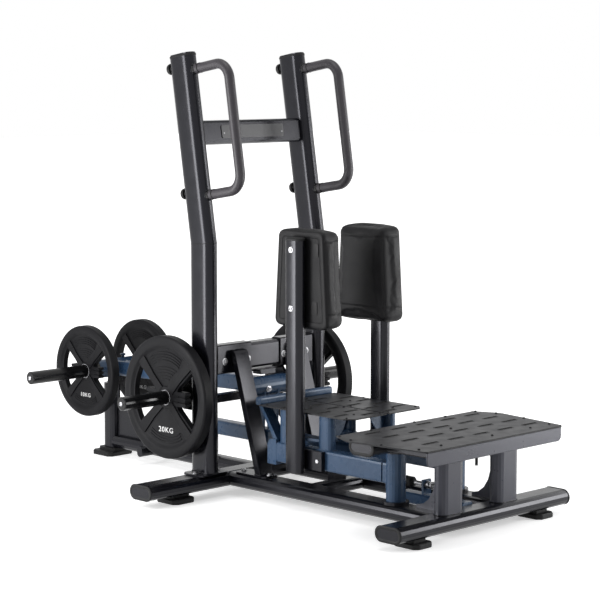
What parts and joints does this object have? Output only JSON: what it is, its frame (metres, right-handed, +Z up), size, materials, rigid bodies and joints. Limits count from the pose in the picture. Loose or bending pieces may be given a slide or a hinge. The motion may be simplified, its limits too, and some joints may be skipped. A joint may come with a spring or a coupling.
{
  "type": "standing hip abductor machine",
  "caption": "Standing hip abductor machine with two swinging foot treads and knee pads, linked to a lever loaded with weight plates, and plate storage on its uprights.",
  "frame": {"origin": "on the floor, at the centre of the machine's bounding box seen from above, on its plane of symmetry", "axes": "+X to the user's right hand when they stand facing the uprights, +Y from the front step towards the rear weights, +Z up"},
  "size_m": [1.17, 2.17, 1.6097],
  "materials": {
    "frame_black": "satin powder coat",
    "step_black": "satin powder coat, slightly lighter",
    "moving_blue": "satin powder coat",
    "tread_grey": "matt textured coat with slots",
    "foot_rubber": "matt",
    "plate_black": "matt black coating",
    "sleeve_black": "satin",
    "stop_steel": "bright",
    "pad_leather": "grained, matt",
    "board_black": "matt",
    "grip_rubber": "matt moulded grip",
    "sign_grey": "matt, bare"
  },
  "bodies": {
    "frame": {"base_cross_tube": "frame_black", "front_crossbar": "frame_black", "rear_crossbar": "frame_black", "rear_beam": "frame_black", "rear_post": "frame_black", "upper_crossbar": "frame_black", "lower_crossbar": "frame_black", "horn_tie": "frame_black", "front_push_guide": "frame_black", "rear_push_guide": "frame_black", "lever_hanger": "frame_black", "placard": "sign_grey", "tail_foot": "foot_rubber", "step_tread": "tread_grey", "step_frame": "step_black", "lever_rest": "foot_rubber", "stop_carrier": "moving_blue", "stop_bolt": "stop_steel", "stop_bumper": "foot_rubber", "left_side_rail": "frame_black", "left_front_foot": "foot_rubber", "left_rear_foot": "foot_rubber", "left_upright": "frame_black", "left_brace": "frame_black", "left_handle": "grip_rubber", "left_storage_horn": "sleeve_black", "left_step_post": "step_black", "left_pivot_shaft": "frame_black", "right_side_rail": "frame_black", "right_front_foot": "foot_rubber", "right_rear_foot": "foot_rubber", "right_upright": "frame_black", "right_brace": "frame_black", "right_handle": "grip_rubber", "right_storage_horn": "sleeve_black", "right_step_post": "step_black", "right_pivot_shaft": "frame_black"},
    "pusher": {"push_tube": "moving_blue"},
    "lever": {"lever_pivot_tube": "moving_blue", "lever_beam": "moving_blue", "left_lever_sleeve": "sleeve_black", "right_lever_sleeve": "sleeve_black"},
    "left_arm": {"left_swing_arm": "moving_blue", "left_foot_tread": "tread_grey", "left_toe_bar": "moving_blue", "left_pad_post": "frame_black", "left_pad_board": "board_black", "left_pad": "pad_leather"},
    "left_link": {"left_link_rod": "moving_blue"},
    "left_large_plate_body": {"left_large_plate": "plate_black"},
    "left_small_plate_body": {"left_small_plate": "plate_black"},
    "right_arm": {"right_swing_arm": "moving_blue", "right_foot_tread": "tread_grey", "right_toe_bar": "moving_blue", "right_pad_post": "frame_black", "right_pad_board": "board_black", "right_pad": "pad_leather"},
    "right_link": {"right_link_rod": "moving_blue"},
    "right_large_plate_body": {"right_large_plate": "plate_black"},
    "right_small_plate_body": {"right_small_plate": "plate_black"}
  },
  "joints": [
    {"name": "left_arm_hinge", "type": "hinge", "parent": "frame", "child": "left_arm", "pos_m": [-0.153, -0.771, 0.186], "axis": [0, 0, 1], "range_deg": [0, 20]},
    {"name": "right_arm_hinge", "type": "hinge", "parent": "frame", "child": "right_arm", "pos_m": [0.153, -0.771, 0.186], "axis": [0, 0, 1], "range_deg": [-20.05, 0]},
    {"name": "left_link_pivot", "type": "hinge", "parent": "left_arm", "child": "left_link", "pos_m": [-0.113, -0.201, 0.2285], "axis": [0, 0, 1], "range_deg": [0, 11.8]},
    {"name": "right_link_pivot", "type": "hinge", "parent": "right_arm", "child": "right_link", "pos_m": [0.113, -0.201, 0.2285], "axis": [0, 0, 1], "range_deg": [-11.8, 0]},
    {"name": "push_slide", "type": "slide", "parent": "frame", "child": "pusher", "axis": [0, 1, 0], "range_m": [0, 0.0788]},
    {"name": "lever_hinge", "type": "hinge", "parent": "frame", "child": "lever", "pos_m": [0, 0.029, 0.382], "axis": [1, 0, 0], "range_deg": [0, 18.6]},
    {"name": "left_large_plate_slide", "type": "slide", "parent": "frame", "child": "left_large_plate_body", "axis": [-1, 0, 0], "range_m": [0, 0.19]},
    {"name": "left_small_plate_slide", "type": "slide", "parent": "lever", "child": "left_small_plate_body", "axis": [-1, 0, 0], "range_m": [0, 0.255]},
    {"name": "right_large_plate_slide", "type": "slide", "parent": "frame", "child": "right_large_plate_body", "axis": [1, 0, 0], "range_m": [0, 0.19]},
    {"name": "right_small_plate_slide", "type": "slide", "parent": "lever", "child": "right_small_plate_body", "axis": [1, 0, 0], "range_m": [0, 0.255]}
  ],
  "couplings": [
    {"joint": "right_arm_hinge", "follows": "left_arm_hinge", "ratio": -1},
    {"joint": "left_link_pivot", "follows": "left_arm_hinge", "ratio": 0.5866},
    {"joint": "right_link_pivot", "follows": "left_arm_hinge", "ratio": -0.5866},
    {"joint": "push_slide", "follows": "left_arm_hinge", "m_per_rad": 0.225},
    {"joint": "lever_hinge", "follows": "left_arm_hinge", "ratio": 0.9272}
  ]
}
